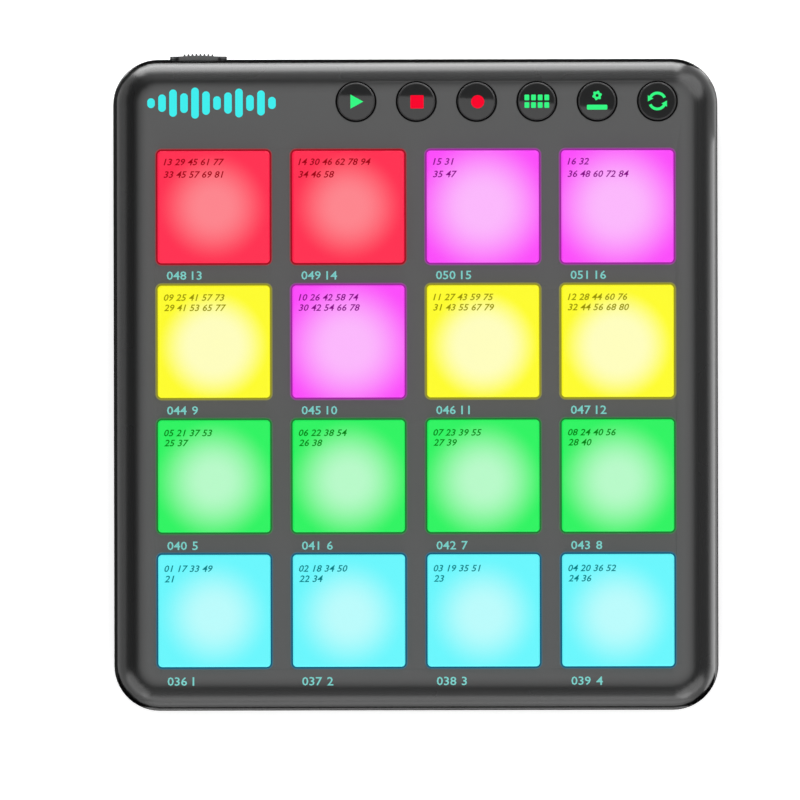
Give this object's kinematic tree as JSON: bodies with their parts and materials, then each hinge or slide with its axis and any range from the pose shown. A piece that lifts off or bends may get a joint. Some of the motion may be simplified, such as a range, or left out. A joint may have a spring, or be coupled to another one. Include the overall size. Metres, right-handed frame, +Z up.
{
  "type": "midi pad controller",
  "caption": "Desktop pad controller: lit square silicone pads and a row of round push buttons in a rounded two-part housing, with a rear slide switch and a data port.",
  "frame": {"origin": "on the desk under the middle of the housing", "axes": "+X to the right as the player sees it, +Y to the rear edge with the buttons, +Z up"},
  "size_m": [0.1598, 0.1736, 0.0234],
  "materials": {
    "shell_plastic": "fine satin moulded texture",
    "base_plastic": "matt moulded texture",
    "slider_plastic": "satin",
    "foot_rubber": "matt",
    "screw_steel": "zinc plated",
    "port_steel": "drawn",
    "board": "solder mask",
    "milky_plastic": "moulded",
    "film": "polyester film",
    "clear_silicone": "translucent silicone",
    "black_plastic": "moulded",
    "battery_foil": "foil",
    "tape": "foam tape",
    "lead_red": "silicone insulation",
    "button_gloss": "polished",
    "pad_cyan": "translucent silicone, lit from below",
    "pad_green": "translucent silicone, lit from below",
    "pad_yellow": "translucent silicone, lit from below",
    "pad_magenta": "translucent silicone, lit from below",
    "pad_red": "translucent silicone, lit from below"
  },
  "bodies": {
    "housing": {"top_shell": "shell_plastic", "bottom_shell": "base_plastic", "rubber_feet": "foot_rubber", "case_screws": "screw_steel", "main_pcb": "board", "pcb_screws": "screw_steel", "light_tray": "milky_plastic", "sensor_film": "film", "sensor_connector": "milky_plastic", "pad_return_rings": "foot_rubber", "pad_leds": "milky_plastic", "button_dome_mat": "clear_silicone", "button_leds": "milky_plastic", "port_shell": "port_steel", "port_tongue": "black_plastic", "power_switch_body": "port_steel", "battery_pack": "battery_foil", "battery_tape": "tape", "battery_lead_red": "lead_red", "battery_lead_black": "black_plastic", "battery_connector": "milky_plastic", "controller_chip": "black_plastic", "charger_chip": "black_plastic"},
    "power_switch": {"power_slider": "slider_plastic", "slider_retainer": "black_plastic", "power_switch_lever": "black_plastic"},
    "pad_01": {"pad_01": "pad_cyan"},
    "pad_02": {"pad_02": "pad_cyan"},
    "pad_03": {"pad_03": "pad_cyan"},
    "pad_04": {"pad_04": "pad_cyan"},
    "pad_05": {"pad_05": "pad_green"},
    "pad_06": {"pad_06": "pad_green"},
    "pad_07": {"pad_07": "pad_green"},
    "pad_08": {"pad_08": "pad_green"},
    "pad_09": {"pad_09": "pad_yellow"},
    "pad_10": {"pad_10": "pad_magenta"},
    "pad_11": {"pad_11": "pad_yellow"},
    "pad_12": {"pad_12": "pad_yellow"},
    "pad_13": {"pad_13": "pad_red"},
    "pad_14": {"pad_14": "pad_red"},
    "pad_15": {"pad_15": "pad_magenta"},
    "pad_16": {"pad_16": "pad_magenta"},
    "button_play": {"button_play": "button_gloss"},
    "button_stop": {"button_stop": "button_gloss"},
    "button_record": {"button_record": "button_gloss"},
    "button_bank": {"button_bank": "button_gloss"},
    "button_shift": {"button_shift": "button_gloss"},
    "button_repeat": {"button_repeat": "button_gloss"}
  },
  "joints": [
    {"name": "pad_01_press", "type": "slide", "parent": "housing", "child": "pad_01", "axis": [0, 0, -1], "range_m": [0, 0.001], "stiffness_N_per_m": 3000, "springref_m": -0.0005, "deforming": ["pad_return_rings"]},
    {"name": "pad_02_press", "type": "slide", "parent": "housing", "child": "pad_02", "axis": [0, 0, -1], "range_m": [0, 0.001], "stiffness_N_per_m": 3000, "springref_m": -0.0005, "deforming": ["pad_return_rings"]},
    {"name": "pad_03_press", "type": "slide", "parent": "housing", "child": "pad_03", "axis": [0, 0, -1], "range_m": [0, 0.001], "stiffness_N_per_m": 3000, "springref_m": -0.0005, "deforming": ["pad_return_rings"]},
    {"name": "pad_04_press", "type": "slide", "parent": "housing", "child": "pad_04", "axis": [0, 0, -1], "range_m": [0, 0.001], "stiffness_N_per_m": 3000, "springref_m": -0.0005, "deforming": ["pad_return_rings"]},
    {"name": "pad_05_press", "type": "slide", "parent": "housing", "child": "pad_05", "axis": [0, 0, -1], "range_m": [0, 0.001], "stiffness_N_per_m": 3000, "springref_m": -0.0005, "deforming": ["pad_return_rings"]},
    {"name": "pad_06_press", "type": "slide", "parent": "housing", "child": "pad_06", "axis": [0, 0, -1], "range_m": [0, 0.001], "stiffness_N_per_m": 3000, "springref_m": -0.0005, "deforming": ["pad_return_rings"]},
    {"name": "pad_07_press", "type": "slide", "parent": "housing", "child": "pad_07", "axis": [0, 0, -1], "range_m": [0, 0.001], "stiffness_N_per_m": 3000, "springref_m": -0.0005, "deforming": ["pad_return_rings"]},
    {"name": "pad_08_press", "type": "slide", "parent": "housing", "child": "pad_08", "axis": [0, 0, -1], "range_m": [0, 0.001], "stiffness_N_per_m": 3000, "springref_m": -0.0005, "deforming": ["pad_return_rings"]},
    {"name": "pad_09_press", "type": "slide", "parent": "housing", "child": "pad_09", "axis": [0, 0, -1], "range_m": [0, 0.001], "stiffness_N_per_m": 3000, "springref_m": -0.0005, "deforming": ["pad_return_rings"]},
    {"name": "pad_10_press", "type": "slide", "parent": "housing", "child": "pad_10", "axis": [0, 0, -1], "range_m": [0, 0.001], "stiffness_N_per_m": 3000, "springref_m": -0.0005, "deforming": ["pad_return_rings"]},
    {"name": "pad_11_press", "type": "slide", "parent": "housing", "child": "pad_11", "axis": [0, 0, -1], "range_m": [0, 0.001], "stiffness_N_per_m": 3000, "springref_m": -0.0005, "deforming": ["pad_return_rings"]},
    {"name": "pad_12_press", "type": "slide", "parent": "housing", "child": "pad_12", "axis": [0, 0, -1], "range_m": [0, 0.001], "stiffness_N_per_m": 3000, "springref_m": -0.0005, "deforming": ["pad_return_rings"]},
    {"name": "pad_13_press", "type": "slide", "parent": "housing", "child": "pad_13", "axis": [0, 0, -1], "range_m": [0, 0.001], "stiffness_N_per_m": 3000, "springref_m": -0.0005, "deforming": ["pad_return_rings"]},
    {"name": "pad_14_press", "type": "slide", "parent": "housing", "child": "pad_14", "axis": [0, 0, -1], "range_m": [0, 0.001], "stiffness_N_per_m": 3000, "springref_m": -0.0005, "deforming": ["pad_return_rings"]},
    {"name": "pad_15_press", "type": "slide", "parent": "housing", "child": "pad_15", "axis": [0, 0, -1], "range_m": [0, 0.001], "stiffness_N_per_m": 3000, "springref_m": -0.0005, "deforming": ["pad_return_rings"]},
    {"name": "pad_16_press", "type": "slide", "parent": "housing", "child": "pad_16", "axis": [0, 0, -1], "range_m": [0, 0.001], "stiffness_N_per_m": 3000, "springref_m": -0.0005, "deforming": ["pad_return_rings"]},
    {"name": "button_play_press", "type": "slide", "parent": "housing", "child": "button_play", "axis": [0, 0, -1], "range_m": [0, 0.0008], "stiffness_N_per_m": 1200, "springref_m": -0.0005, "deforming": ["button_dome_mat"]},
    {"name": "button_stop_press", "type": "slide", "parent": "housing", "child": "button_stop", "axis": [0, 0, -1], "range_m": [0, 0.0008], "stiffness_N_per_m": 1200, "springref_m": -0.0005, "deforming": ["button_dome_mat"]},
    {"name": "button_record_press", "type": "slide", "parent": "housing", "child": "button_record", "axis": [0, 0, -1], "range_m": [0, 0.0008], "stiffness_N_per_m": 1200, "springref_m": -0.0005, "deforming": ["button_dome_mat"]},
    {"name": "button_bank_press", "type": "slide", "parent": "housing", "child": "button_bank", "axis": [0, 0, -1], "range_m": [0, 0.0008], "stiffness_N_per_m": 1200, "springref_m": -0.0005, "deforming": ["button_dome_mat"]},
    {"name": "button_shift_press", "type": "slide", "parent": "housing", "child": "button_shift", "axis": [0, 0, -1], "range_m": [0, 0.0008], "stiffness_N_per_m": 1200, "springref_m": -0.0005, "deforming": ["button_dome_mat"]},
    {"name": "button_repeat_press", "type": "slide", "parent": "housing", "child": "button_repeat", "axis": [0, 0, -1], "range_m": [0, 0.0008], "stiffness_N_per_m": 1200, "springref_m": -0.0005, "deforming": ["button_dome_mat"]},
    {"name": "power_slide", "type": "slide", "parent": "housing", "child": "power_switch", "axis": [1, 0, 0], "range_m": [0, 0.002]}
  ]
}
